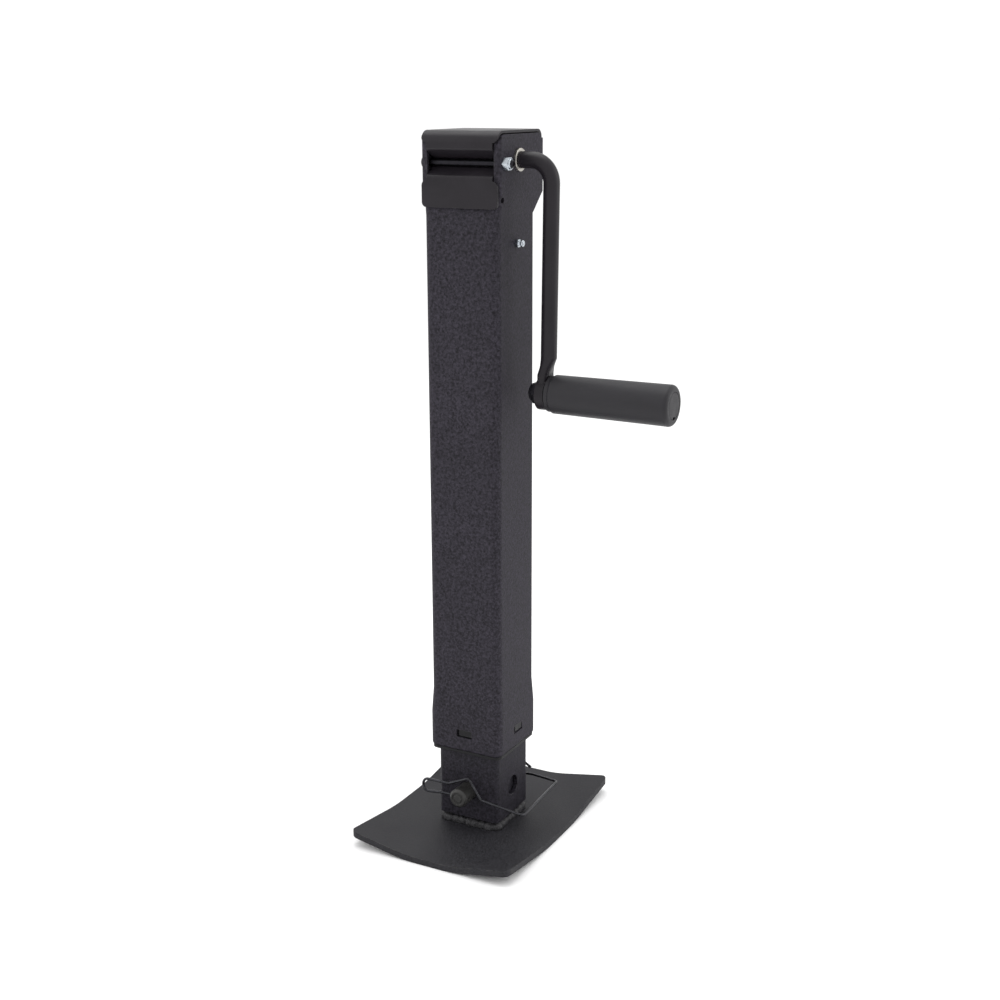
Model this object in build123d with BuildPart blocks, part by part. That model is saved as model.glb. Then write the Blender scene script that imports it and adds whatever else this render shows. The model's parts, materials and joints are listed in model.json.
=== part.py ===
from build123d import *
import os
from math import acos, atan, cos, pi, radians, sin, sqrt, tan

# Side-wind trailer tongue jack with a square tube, a screw-driven ram and a pinned drop leg.
# Millimetres. The origin is on the floor under the tube's axis. +Z is up, the crank is on +X,
# and the lock pin runs along Y.

os.makedirs("parts", exist_ok=True)

# ---------------------------------------------------------------- driving dimensions

# Square tubes: outside width, wall and outside corner radius
TUBE, TUBE_WALL, TUBE_CORNER = 76.2, 3.05, 8.0
RAM, RAM_WALL, RAM_CORNER = 66.7, 4.0, 6.0
LEG, LEG_WALL, LEG_CORNER = 57.2, 4.0, 5.0

# Heights of the outer tube
TUBE_BOTTOM = 89.0
COLLAR_HALF = 39.55
COLLAR_TOP, COLLAR_TAPER_TOP = 125.0, 150.0
HEAD_FLARE_BOTTOM, HEAD_RECESS_TOP, HEAD_FLARE_TOP = 609.5, 616.8, 629.0
CHEEK_TOP = 681.7

# Gear head in plan: half width, front and back faces, corner radii
HEAD_HALF, HEAD_FRONT, HEAD_BACK = 40.5, 36.1, 48.6
HEAD_FRONT_CORNER, HEAD_BACK_CORNER = 3.5, 1.5
FRONT_OPENING_HALF, FRONT_OPENING_BOTTOM = 34.1, 636.0
BACK_OPENING_BOTTOM = 630.5
CHEEK_FRONT_CORNER, CHEEK_BACK_CORNER = 9.5, 6.0
# the cheeks step down behind the cover's rear bend
CHEEK_STEP_Y, CHEEK_STEP_Z = 45.2, 676.9

# Gear cover
COVER_SHEET = 2.5
COVER_TOP = 685.0
COVER_BOTTOM, COVER_BACK_BOTTOM = 617.3, 631.0
COVER_HALF, COVER_NOTCHED_HALF, COVER_BACK_HALF = 38.8, 33.7, 37.0
COVER_BACK = 48.3
FRONT_BEND, REAR_BEND, LIP_BEND, GROOVE_BEND = 11.0, 7.5, 3.0, 2.0
GROOVE_TOP, GROOVE_BOTTOM, GROOVE_DEPTH = 668.8, 645.0, 18.0
NOTCH_BOTTOM, NOTCH_TOP = 641.5, 674.5

# Crank shaft, crank and grip
SHAFT_Z = 659.0
ROD = 15.0
CRANK_RADIUS = 210.5
ARM_X, ARM_LEAN, BEND_RADIUS = 73.4, 2.5, 20.0
EYE_INNER, EYE_OUTER, EYE_RADIUS = 63.4, 72.4, 15.5
GRIP_START, GRIP_END = 73.6, 195.4
GRIP_INNER_DIA, GRIP_OUTER_DIA = 36.0, 38.0
GRIP_BOLT_DIA = 12.0

# Cover bolt (1/4 in), across the head in the cover's groove
BOLT_DIA, BOLT_HOLE, BOLT_Y, BOLT_Z = 6.35, 7.15, -27.4, 656.6

# Bevel gears: module at the large end, teeth, face width
MODULE, PINION_TEETH, GEAR_TEETH, FACE_WIDTH = 2.8, 10, 18, 6.9
PRESSURE_ANGLE = radians(22.5)
BACKLASH = 0.5

# Screw, thrust bearing and lift nut
SCREW_DIA, SCREW_LEAD, THREAD_DEPTH = 24.0, 5.08, 2.6
JOURNAL_DIA = 20.0
PLATE_BOTTOM, PLATE_THICK = 598.0, 8.0
RACE_THICK, RACE_DIA, BALL_DIA, BALL_CIRCLE, BALLS = 3.0, 40.0, 7.0, 30.0, 10
SCREW_COLLAR, SCREW_COLLAR_DIA = 8.0, 36.0
THREAD_BOTTOM = 200.0
SCREW_BOTTOM = 195.0
NUT_BOTTOM, NUT_HEIGHT = 521.0, 35.0
SCREW_TRAVEL = 317.5

# Ram, leg and foot
RAM_BOTTOM = 15.0
PIN_Z, PIN_DIA, PIN_HOLE = 44.0, 19.0, 20.0
PIN_FRONT, PIN_BACK = -54.0, 56.0
PIN_FRONT_EDGE, PIN_BACK_EDGE = 2.0, 1.5
PIN_RING_OUTER, PIN_RING_INNER, PIN_RING_DEPTH = 12.0, 8.0, 0.8
HOLE_PITCH, LEG_HOLES = 50.8, 7
LEG_TOP = 390.0
FOOT_X, FOOT_Y, FOOT_THICK, FOOT_CORNER = 175.0, 229.0, 6.0, 8.0
FOLD_X, FOLD_Y, FOLD_RISE, FOLD_RADIUS = 14.0, 14.0, 12.5, 90.0
WELD_TOP = 14.0

# Wire clip
WIRE_DIA = 2.6
WIRE_HOLE = 3.4
CLIP_FRONT_Y, CLIP_BACK_Y = -47.0, 50.0

# Clearances
RUNNING = 0.05
SLIDING = 0.3

# ---------------------------------------------------------------- shared shapes


def plan(half_x, front, back, front_radius, back_radius):
    """The edges of a rounded outline in plan, with its own front and back corners."""
    with BuildLine() as outline:
        FilletPolyline(
            (half_x, -front),
            (half_x, back),
            (-half_x, back),
            (-half_x, -front),
            radius=[front_radius, back_radius, back_radius, front_radius],
            close=True,
        )
    return outline.edges()


def square_ring(width, wall, corner, z):
    """The section of a square tube at height z."""
    with BuildSketch(Plane.XY.offset(z)) as section:
        RectangleRounded(width, width, corner)
        RectangleRounded(width - 2 * wall, width - 2 * wall, corner - wall, mode=Mode.SUBTRACT)
    return section.sketch


def round_ring(inner_dia, outer_dia, z):
    """The section of a flat ring on the Z axis at height z."""
    with BuildSketch(Plane.XY.offset(z)) as section:
        Circle(outer_dia / 2)
        Circle(inner_dia / 2, mode=Mode.SUBTRACT)
    return section.sketch


def save(piece, label):
    """Labels a finished piece and writes its STEP file."""
    piece.part.label = label
    export_step(piece.part, f"parts/{label}.step")


# ---------------------------------------------------------------- outer tube

tube_half = TUBE / 2
# part of the way up the flare the front wall has reached its full recess
flare_part = (HEAD_RECESS_TOP - HEAD_FLARE_BOTTOM) / (HEAD_FLARE_TOP - HEAD_FLARE_BOTTOM)
recess_half = tube_half + flare_part * (HEAD_HALF - tube_half)
recess_back = tube_half + flare_part * (HEAD_BACK - tube_half)
RECESS_FRONT_CORNER, RECESS_BACK_CORNER = 6.3, 5.6
# height, half width, front, back, front corner, back corner of the outside
tube_sections = [
    (TUBE_BOTTOM, COLLAR_HALF, COLLAR_HALF, COLLAR_HALF, TUBE_CORNER, TUBE_CORNER),
    (COLLAR_TOP, COLLAR_HALF, COLLAR_HALF, COLLAR_HALF, TUBE_CORNER, TUBE_CORNER),
    (COLLAR_TAPER_TOP, tube_half, tube_half, tube_half, TUBE_CORNER, TUBE_CORNER),
    (HEAD_FLARE_BOTTOM, tube_half, tube_half, tube_half, TUBE_CORNER, TUBE_CORNER),
    (HEAD_RECESS_TOP, recess_half, HEAD_FRONT, recess_back, RECESS_FRONT_CORNER, RECESS_BACK_CORNER),
    (HEAD_FLARE_TOP, HEAD_HALF, HEAD_FRONT, HEAD_BACK, HEAD_FRONT_CORNER, HEAD_BACK_CORNER),
    (CHEEK_TOP, HEAD_HALF, HEAD_FRONT, HEAD_BACK, HEAD_FRONT_CORNER, HEAD_BACK_CORNER),
]
WINDOW_WIDTH, WINDOW_HEIGHT, WINDOW_Z = 17.0, 8.0, 107.5
SMALL_HOLE_DIA, SMALL_HOLE_Y, SMALL_HOLE_Z = 5.6, -30.6, 625.0
FITTING_Y, FITTING_Z, FITTING_THREAD = -0.5, 584.8, 6.0
BUSHING_DIA = 18.0
cheek_inner = HEAD_HALF - TUBE_WALL

with BuildPart() as outer_tube:
    for z, half, front, back, front_r, back_r in tube_sections:
        with BuildSketch(Plane.XY.offset(z)):
            make_face(plan(half, front, back, front_r, back_r))
    loft(ruled=True)
    for z, half, front, back, front_r, back_r in tube_sections:
        with BuildSketch(Plane.XY.offset(z)):
            inside = [size - TUBE_WALL for size in (half, front, back, front_r)]
            make_face(plan(*inside, max(back_r - TUBE_WALL, 0.5)))
    loft(ruled=True, mode=Mode.SUBTRACT)
    # rolled bottom edge of the collar
    fillet(outer_tube.faces().sort_by(Axis.Z)[0].outer_wire().edges(), TUBE_WALL - 0.3)
    # windows for the guide bush's lugs, one in each face
    for side in (Plane.XZ, Plane.YZ):
        with BuildSketch(side):
            with Locations((0, WINDOW_Z)):
                Rectangle(WINDOW_WIDTH, WINDOW_HEIGHT)
        extrude(amount=COLLAR_HALF + 5, both=True, mode=Mode.SUBTRACT)
    # openings in the head's front and back walls, behind the cover
    with BuildSketch(Plane.XZ):
        with Locations((0, (FRONT_OPENING_BOTTOM + CHEEK_TOP + 5) / 2)):
            Rectangle(2 * FRONT_OPENING_HALF, CHEEK_TOP + 5 - FRONT_OPENING_BOTTOM)
    extrude(amount=HEAD_FRONT + 5, mode=Mode.SUBTRACT)
    with BuildSketch(Plane.XZ):
        with Locations((0, (BACK_OPENING_BOTTOM + CHEEK_TOP + 5) / 2)):
            Rectangle(2 * cheek_inner, CHEEK_TOP + 5 - BACK_OPENING_BOTTOM)
    extrude(amount=-(HEAD_BACK + 5), mode=Mode.SUBTRACT)
    # rounded upper corners of the cheeks, seen from the side
    with BuildSketch(Plane.YZ):
        with Locations((0, CHEEK_TOP)):
            Rectangle(2 * HEAD_BACK + 20, 40)
        with Locations((-HEAD_FRONT + HEAD_BACK / 2, CHEEK_TOP - 40)):
            RectangleRounded(HEAD_BACK, 80, CHEEK_FRONT_CORNER, mode=Mode.SUBTRACT)
        with Locations((CHEEK_STEP_Y - HEAD_BACK / 2, CHEEK_TOP - 40)):
            RectangleRounded(HEAD_BACK, 80, CHEEK_BACK_CORNER, mode=Mode.SUBTRACT)
        with Locations((0, CHEEK_TOP - 40)):
            Rectangle(HEAD_BACK, 80, mode=Mode.SUBTRACT)
        with Locations((HEAD_BACK / 2, CHEEK_STEP_Z - 40)):
            Rectangle(HEAD_BACK, 80, mode=Mode.SUBTRACT)
    extrude(amount=HEAD_HALF + 5, both=True, mode=Mode.SUBTRACT)
    # holes across the cheeks for the shaft bushings, the cover bolt and a drain
    with BuildSketch(Plane.YZ):
        with Locations((0, SHAFT_Z)):
            Circle(BUSHING_DIA / 2)
        with Locations((BOLT_Y, BOLT_Z)):
            Circle(BOLT_HOLE / 2)
        with Locations((SMALL_HOLE_Y, SMALL_HOLE_Z)):
            Circle(SMALL_HOLE_DIA / 2)
    extrude(amount=HEAD_HALF + 5, both=True, mode=Mode.SUBTRACT)
    # tapped hole for the grease fitting
    with BuildSketch(Plane.YZ):
        with Locations((FITTING_Y, FITTING_Z)):
            Circle(FITTING_THREAD / 2)
    extrude(amount=tube_half + 5, mode=Mode.SUBTRACT)
save(outer_tube, "outer_tube")

# ---------------------------------------------------------------- gear cover

LOWER_TAB_CORNER, BOTTOM_CORNER, UPPER_TAB_CORNER = 5.0, 4.6, 5.0
front_y = -(HEAD_FRONT + COVER_SHEET)
groove_y = front_y + GROOVE_DEPTH
groove_z = (GROOVE_TOP + GROOVE_BOTTOM) / 2
# where the rear bend ends and the back flange starts
back_flange_top = COVER_TOP - REAR_BEND

with BuildPart() as gear_cover:
    with BuildSketch(Plane.YZ):
        with BuildLine():
            FilletPolyline(
                (front_y, COVER_BOTTOM),
                (front_y, GROOVE_BOTTOM),
                (groove_y, groove_z),
                (front_y, GROOVE_TOP),
                (front_y, COVER_TOP),
                (COVER_BACK, COVER_TOP),
                (COVER_BACK, COVER_BACK_BOTTOM),
                radius=[LIP_BEND, GROOVE_BEND, LIP_BEND, FRONT_BEND, REAR_BEND],
            )
            offset(amount=COVER_SHEET, side=Side.RIGHT)
        make_face()
    extrude(amount=COVER_HALF, both=True)
    # rounded tabs above and below the groove; the groove fits between the cheeks' front corners
    with BuildSketch(Plane.XZ):
        with Locations((0, (COVER_BOTTOM + COVER_TOP) / 2)):
            Rectangle(4 * COVER_HALF, 2 * (COVER_TOP - COVER_BOTTOM))
        with Locations((0, (COVER_BOTTOM + NOTCH_BOTTOM) / 2)):
            RectangleRounded(2 * COVER_HALF, NOTCH_BOTTOM - COVER_BOTTOM, LOWER_TAB_CORNER, mode=Mode.SUBTRACT)
        with Locations((0, COVER_BOTTOM + LOWER_TAB_CORNER)):
            RectangleRounded(2 * COVER_HALF, 2 * LOWER_TAB_CORNER, BOTTOM_CORNER, mode=Mode.SUBTRACT)
        with Locations((0, NOTCH_TOP + COVER_HALF)):
            RectangleRounded(2 * COVER_HALF, 2 * COVER_HALF, UPPER_TAB_CORNER, mode=Mode.SUBTRACT)
        with Locations((0, (NOTCH_BOTTOM + NOTCH_TOP) / 2)):
            Rectangle(2 * COVER_NOTCHED_HALF, NOTCH_TOP - NOTCH_BOTTOM + 2, mode=Mode.SUBTRACT)
    extrude(amount=HEAD_FRONT + 10, mode=Mode.SUBTRACT)
    # the back flange drops between the cheeks
    with BuildSketch(Plane.XY.offset(back_flange_top)):
        for side in (-1, 1):
            with Locations((side * (COVER_BACK_HALF + 10), COVER_BACK)):
                Rectangle(20, 4 * COVER_SHEET)
    extrude(amount=COVER_BACK_BOTTOM - 5 - back_flange_top, mode=Mode.SUBTRACT)
save(gear_cover, "gear_cover")

# ---------------------------------------------------------------- cover bolt and nut

COVER_BOLT_HEAD_DIA, COVER_BOLT_HEAD = 11.0, 2.4
COVER_HEX, COVER_NUT = 11.1, 5.6
NUT_COLLAR_DIA, NUT_COLLAR = 9.4, 1.5
BOLT_END = 49.4

with BuildPart() as cover_bolt:
    with BuildSketch(Plane.YZ.offset(-HEAD_HALF)):
        with Locations((BOLT_Y, BOLT_Z)):
            Circle(COVER_BOLT_HEAD_DIA / 2)
    extrude(amount=-COVER_BOLT_HEAD)
    fillet(cover_bolt.faces().sort_by(Axis.X)[0].edges(), 1.6)
    with BuildSketch(Plane.YZ.offset(-HEAD_HALF)):
        with Locations((BOLT_Y, BOLT_Z)):
            Circle(BOLT_DIA / 2)
    extrude(amount=BOLT_END + HEAD_HALF)
    chamfer(cover_bolt.faces().sort_by(Axis.X)[-1].edges(), 0.8)
save(cover_bolt, "cover_bolt")

with BuildPart() as cover_nut:
    with BuildSketch(Plane.YZ.offset(HEAD_HALF)):
        with Locations((BOLT_Y, BOLT_Z)):
            RegularPolygon(COVER_HEX / 2, 6, major_radius=False)
    extrude(amount=COVER_NUT)
    chamfer(cover_nut.faces().sort_by(Axis.X)[-1].edges(), 0.6)
    # round collar that holds the nylon insert
    with BuildSketch(Plane.YZ.offset(HEAD_HALF + COVER_NUT)):
        with Locations((BOLT_Y, BOLT_Z)):
            Circle(NUT_COLLAR_DIA / 2)
    extrude(amount=NUT_COLLAR)
    fillet(cover_nut.faces().sort_by(Axis.X)[-1].edges(), 0.7)
    with BuildSketch(Plane.YZ.offset(HEAD_HALF)):
        with Locations((BOLT_Y, BOLT_Z)):
            Circle(BOLT_DIA / 2)
    extrude(amount=COVER_NUT + NUT_COLLAR, mode=Mode.SUBTRACT)
save(cover_nut, "cover_nut")

# ---------------------------------------------------------------- grease fitting

tube_inner = tube_half - TUBE_WALL
FITTING_HEX, FITTING_HEX_TOP = 7.0, 2.8

with BuildPart() as grease_fitting:
    with BuildSketch(Plane.YZ.offset(tube_half)):
        with Locations((FITTING_Y, FITTING_Z)):
            RegularPolygon(FITTING_HEX / 2, 6, major_radius=False)
    extrude(amount=FITTING_HEX_TOP)
    # threaded shank, neck and ball end, turned on the fitting's own axis
    with BuildSketch(Plane.XY.offset(FITTING_Z)):
        with BuildLine():
            Polyline(
                (tube_inner - 1.5, FITTING_Y),
                (tube_inner - 1.5, FITTING_Y + FITTING_THREAD / 2),
                (tube_half, FITTING_Y + FITTING_THREAD / 2),
                (tube_half + FITTING_HEX_TOP, FITTING_Y + 3.0),
                (tube_half + 4.0, FITTING_Y + 1.9),
                (tube_half + 4.6, FITTING_Y + 1.9),
            )
            ThreePointArc(
                (tube_half + 4.6, FITTING_Y + 1.9),
                (tube_half + 6.0, FITTING_Y + 3.1),
                (tube_half + 7.6, FITTING_Y + 1.4),
            )
            Polyline(
                (tube_half + 7.6, FITTING_Y + 1.4),
                (tube_half + 7.6, FITTING_Y),
                (tube_inner - 1.5, FITTING_Y),
            )
        make_face()
    revolve(axis=Axis((0, FITTING_Y, FITTING_Z), (1, 0, 0)))
save(grease_fitting, "grease_fitting")

# ---------------------------------------------------------------- shaft bushings

FLANGE_DIA, FLANGE_THICK, FLANGE_EDGE, BUSHING_INNER = 20.6, 2.4, 0.8, 37.6

with BuildPart() as shaft_bushings:
    for side in (-1, 1):
        with BuildSketch(Plane.YZ.offset(side * HEAD_HALF)):
            with Locations((0, SHAFT_Z)):
                Circle(FLANGE_DIA / 2)
        extrude(amount=side * FLANGE_THICK)
        with BuildSketch(Plane.YZ.offset(side * HEAD_HALF)):
            with Locations((0, SHAFT_Z)):
                Circle(BUSHING_DIA / 2)
        extrude(amount=-side * (HEAD_HALF - BUSHING_INNER))
    for end in (0, -1):
        fillet(shaft_bushings.faces().sort_by(Axis.X)[end].edges(), FLANGE_EDGE)
    with BuildSketch(Plane.YZ):
        with Locations((0, SHAFT_Z)):
            Circle(ROD / 2 + RUNNING)
    extrude(amount=HEAD_HALF + 2 * FLANGE_THICK, both=True, mode=Mode.SUBTRACT)
save(shaft_bushings, "shaft_bushings")

# ---------------------------------------------------------------- crank

bushing_end = HEAD_HALF + FLANGE_THICK
WASHER_THICK, WASHER_DIA = 1.0, 24.0
RING_THICK, RING_DIA, RING_GAP, RING_DEPTH = 1.2, 21.0, 0.2, 0.8
RING_MOUTH, RING_MOUTH_DROP = 5.0, 9.0
washer_x = -(bushing_end + RING_GAP)
ring_x = washer_x - WASHER_THICK
shaft_end = ring_x - RING_THICK - 2.0
EYE_Z = SHAFT_Z - CRANK_RADIUS
ARM_END_Z, EYE_BLEND_Z = EYE_Z + 33.0, EYE_Z + 18.4
eye_x = (EYE_INNER + EYE_OUTER) / 2
arm_end_x = ARM_X - ARM_LEAN * (SHAFT_Z - ARM_END_Z) / CRANK_RADIUS

EYE_BLEND_HALF, EYE_EDGE = 11.0, 4.0

with BuildPart() as crank_rod:
    with BuildLine() as crank_line:
        FilletPolyline((shaft_end, 0, SHAFT_Z), (ARM_X, 0, SHAFT_Z), (arm_end_x, 0, ARM_END_Z), radius=BEND_RADIUS)
    with BuildSketch(Plane.YZ.offset(shaft_end)):
        with Locations((0, SHAFT_Z)):
            Circle(ROD / 2)
    sweep()
    chamfer(crank_rod.faces().sort_by(Axis.X)[0].edges(), 1.0)
    # the rod's end is forged flat
    with BuildSketch(Plane(crank_line.line @ 1, x_dir=(0, 1, 0), z_dir=crank_line.line % 1)):
        Circle(ROD / 2)
    with BuildSketch(Plane((eye_x, 0, EYE_BLEND_Z), x_dir=(0, 1, 0), z_dir=(0, 0, -1))):
        RectangleRounded(2 * EYE_BLEND_HALF, EYE_OUTER - EYE_INNER, EYE_EDGE)
    loft()
    with BuildSketch(Plane((eye_x, 0, EYE_BLEND_Z), x_dir=(0, 1, 0), z_dir=(0, 0, -1))):
        RectangleRounded(2 * EYE_BLEND_HALF, EYE_OUTER - EYE_INNER, EYE_EDGE)
    extrude(amount=EYE_BLEND_Z - EYE_Z - 10)
    with BuildSketch(Plane.YZ.offset(EYE_INNER)):
        with Locations((0, EYE_Z)):
            Circle(EYE_RADIUS)
    extrude(amount=EYE_OUTER - EYE_INNER)
    with BuildSketch(Plane.YZ.offset(EYE_INNER)):
        with Locations((0, EYE_Z)):
            Circle(GRIP_BOLT_DIA / 2)
    extrude(amount=EYE_OUTER - EYE_INNER, mode=Mode.SUBTRACT)
    # groove for the retaining ring
    with BuildSketch(Plane.YZ.offset(ring_x)):
        with Locations((0, SHAFT_Z)):
            Circle(ROD / 2 + 1)
            Circle(ROD / 2 - RING_DEPTH, mode=Mode.SUBTRACT)
    extrude(amount=-RING_THICK, mode=Mode.SUBTRACT)
    # cross hole for the pinion's pin
    PIN_HOLE_X, ROLL_PIN_DIA = 32.0, 5.0
    with BuildSketch(Plane.XZ):
        with Locations((PIN_HOLE_X, SHAFT_Z)):
            Circle(ROLL_PIN_DIA / 2)
    extrude(amount=ROD, both=True, mode=Mode.SUBTRACT)
save(crank_rod, "crank_rod")

with BuildPart() as shaft_washer:
    with BuildSketch(Plane.YZ.offset(washer_x)):
        with Locations((0, SHAFT_Z)):
            Circle(WASHER_DIA / 2)
            Circle(ROD / 2 + RUNNING, mode=Mode.SUBTRACT)
    extrude(amount=-WASHER_THICK)
save(shaft_washer, "shaft_washer")

with BuildPart() as shaft_ring:
    with BuildSketch(Plane.YZ.offset(ring_x)):
        with Locations((0, SHAFT_Z)):
            Circle(RING_DIA / 2)
            Circle(ROD / 2 - RING_DEPTH, mode=Mode.SUBTRACT)
        with Locations((0, SHAFT_Z - RING_MOUTH_DROP)):
            Rectangle(RING_MOUTH, 2 * RING_MOUTH_DROP - ROD + 2, mode=Mode.SUBTRACT)
    extrude(amount=-RING_THICK)
save(shaft_ring, "shaft_ring")

# ---------------------------------------------------------------- grip

GRIP_STEP, GRIP_STEP_DIA = 3.5, 33.5
PLUG_DIA, PLUG_DEPTH = 25.0, 4.0
NOTCH_WIDTH, NOTCH_HEIGHT, NOTCH_DEPTH = 5.0, 2.6, 2.0
BOLT_HEAD_HEX, BOLT_HEAD_HEIGHT = 18.0, 7.5
POCKET_DIA = 22.0
GRIP_END_ROUND = 4.0
GRIP_NUT_HEX, GRIP_NUT_HEIGHT, GRIP_NUT_COLLAR_DIA = 19.0, 9.4, 16.8
HEX_SHARE = 0.75
pocket_x = GRIP_END - PLUG_DEPTH - BOLT_HEAD_HEIGHT - 2.0

with BuildPart() as handle_grip:
    with BuildSketch(Plane.XY.offset(EYE_Z)):
        with BuildLine():
            Polyline(
                (GRIP_START, 0),
                (GRIP_START, GRIP_STEP_DIA / 2),
                (GRIP_START + GRIP_STEP, GRIP_STEP_DIA / 2),
                (GRIP_START + GRIP_STEP + 1.6, GRIP_INNER_DIA / 2),
                (GRIP_END, GRIP_OUTER_DIA / 2),
                (GRIP_END, 0),
                (GRIP_START, 0),
            )
        make_face()
    revolve(axis=Axis((0, 0, EYE_Z), (1, 0, 0)))
    fillet(handle_grip.faces().sort_by(Axis.X)[-1].edges(), GRIP_END_ROUND)
    with BuildSketch(Plane.YZ.offset(GRIP_START - 1)):
        with Locations((0, EYE_Z)):
            Circle(GRIP_BOLT_DIA / 2 + RUNNING)
    extrude(amount=GRIP_END - GRIP_START, mode=Mode.SUBTRACT)
    with BuildSketch(Plane.YZ.offset(pocket_x)):
        with Locations((0, EYE_Z)):
            Circle(POCKET_DIA / 2)
    extrude(amount=GRIP_END - pocket_x, mode=Mode.SUBTRACT)
    with BuildSketch(Plane.YZ.offset(GRIP_END - PLUG_DEPTH)):
        with Locations((0, EYE_Z)):
            Circle(PLUG_DIA / 2 + 0.2)
    extrude(amount=PLUG_DEPTH, mode=Mode.SUBTRACT)
save(handle_grip, "handle_grip")

with BuildPart() as grip_end_plug:
    with BuildSketch(Plane.YZ.offset(GRIP_END - PLUG_DEPTH)):
        with Locations((0, EYE_Z)):
            Circle(PLUG_DIA / 2)
    extrude(amount=PLUG_DEPTH)
    fillet(grip_end_plug.faces().sort_by(Axis.X)[-1].edges(), 0.8)
    # notch for prying the plug out
    with BuildSketch(Plane.YZ.offset(GRIP_END)):
        with Locations((0, EYE_Z - PLUG_DIA / 2)):
            RectangleRounded(NOTCH_WIDTH, 2 * NOTCH_HEIGHT, 1.0)
    extrude(amount=-NOTCH_DEPTH, mode=Mode.SUBTRACT)
save(grip_end_plug, "grip_end_plug")

with BuildPart() as grip_bolt:
    with BuildSketch(Plane.YZ.offset(EYE_INNER - GRIP_NUT_HEIGHT - 1.5)):
        with Locations((0, EYE_Z)):
            Circle(GRIP_BOLT_DIA / 2)
    extrude(amount=pocket_x + 0.5 - (EYE_INNER - GRIP_NUT_HEIGHT - 1.5))
    chamfer(grip_bolt.faces().sort_by(Axis.X)[0].edges(), 1.2)
    with BuildSketch(Plane.YZ.offset(pocket_x + 0.5)):
        with Locations((0, EYE_Z)):
            RegularPolygon(BOLT_HEAD_HEX / 2, 6, major_radius=False)
    extrude(amount=BOLT_HEAD_HEIGHT)
    chamfer(grip_bolt.faces().sort_by(Axis.X)[-1].edges(), 0.8)
save(grip_bolt, "grip_bolt")

with BuildPart() as grip_nut:
    with BuildSketch(Plane.YZ.offset(EYE_INNER)):
        with Locations((0, EYE_Z)):
            RegularPolygon(GRIP_NUT_HEX / 2, 6, major_radius=False)
    extrude(amount=-GRIP_NUT_HEIGHT * HEX_SHARE)
    chamfer(grip_nut.faces().sort_by(Axis.X)[0].edges(), 1.2)
    with BuildSketch(Plane.YZ.offset(EYE_INNER - GRIP_NUT_HEIGHT * HEX_SHARE)):
        with Locations((0, EYE_Z)):
            Circle(GRIP_NUT_COLLAR_DIA / 2)
    extrude(amount=-GRIP_NUT_HEIGHT * (1 - HEX_SHARE))
    fillet(grip_nut.faces().sort_by(Axis.X)[0].edges(), 1.5)
    with BuildSketch(Plane.YZ.offset(EYE_INNER)):
        with Locations((0, EYE_Z)):
            Circle(GRIP_BOLT_DIA / 2)
    extrude(amount=-GRIP_NUT_HEIGHT - 1, mode=Mode.SUBTRACT)
save(grip_nut, "grip_nut")

# ---------------------------------------------------------------- bevel gears

# The two pitch cones share their apex on the shaft's axis above the screw.
APEX = Vector(0, 0, SHAFT_Z)
pinion_radius = MODULE * PINION_TEETH / 2
gear_radius = MODULE * GEAR_TEETH / 2
cone_length = sqrt(pinion_radius**2 + gear_radius**2)
toe_scale = (cone_length - FACE_WIDTH) / cone_length
pinion_angle = atan(pinion_radius / gear_radius)
gear_angle = pi / 2 - pinion_angle
ROOT_DEPTH = 1.25 * MODULE


def tooth_outline(teeth, cone_angle, scale):
    """Half-width and height points of a tooth on its back cone: (across, above the pitch line)."""
    radius = MODULE * teeth / 2 / cos(cone_angle)
    base = radius * cos(PRESSURE_ANGLE)
    involute = tan(PRESSURE_ANGLE) - PRESSURE_ANGLE
    half_angle = (pi * MODULE / 2 - BACKLASH) / 2 / radius + involute
    flank = []
    for height in (-1.35 * MODULE, -0.6 * MODULE, 0.0, 0.5 * MODULE, 0.95 * MODULE):
        at = radius + height
        pressure = acos(min(1.0, base / at))
        angle = half_angle - (tan(pressure) - pressure)
        flank.append((at * sin(angle) * scale, (at * cos(angle) - radius) * scale))
    return flank + [(-across, height) for across, height in reversed(flank)]


def tooth(teeth, cone_angle, axis, sideways):
    """One tapered tooth on the element that leans from axis towards sideways."""
    element = axis * cos(cone_angle) + sideways * sin(cone_angle)
    above = sideways * cos(cone_angle) - axis * sin(cone_angle)
    with BuildPart() as one:
        for scale in (1.0, toe_scale):
            face = Plane(APEX + element * cone_length * scale, x_dir=element.cross(above), z_dir=-element)
            flip = 1 if face.y_dir.dot(above) > 0 else -1
            with BuildSketch(face):
                with BuildLine():
                    points = [(across, flip * up) for across, up in tooth_outline(teeth, cone_angle, scale)]
                    Polyline(*points, close=True)
                make_face()
        loft(ruled=True)
    return one.part


UP, ALONG = Vector(0, 0, 1), Vector(1, 0, 0)
gear_tooth = tooth(GEAR_TEETH, gear_angle, -UP, ALONG)
pinion_tooth = tooth(PINION_TEETH, pinion_angle, ALONG, -UP)

HUB_BOTTOM, HUB_DIA, GEAR_BACK = 608.0, 30.0, 635.0
journal_bore = JOURNAL_DIA / 2 + 0.02
gear_root = (gear_radius - ROOT_DEPTH * cos(gear_angle), -pinion_radius - ROOT_DEPTH * sin(gear_angle))
# the blanks reach a little past both ends of the teeth
heel, toe = 1.012, toe_scale - 0.012
GEAR_PIN_Z = 620.0

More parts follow.
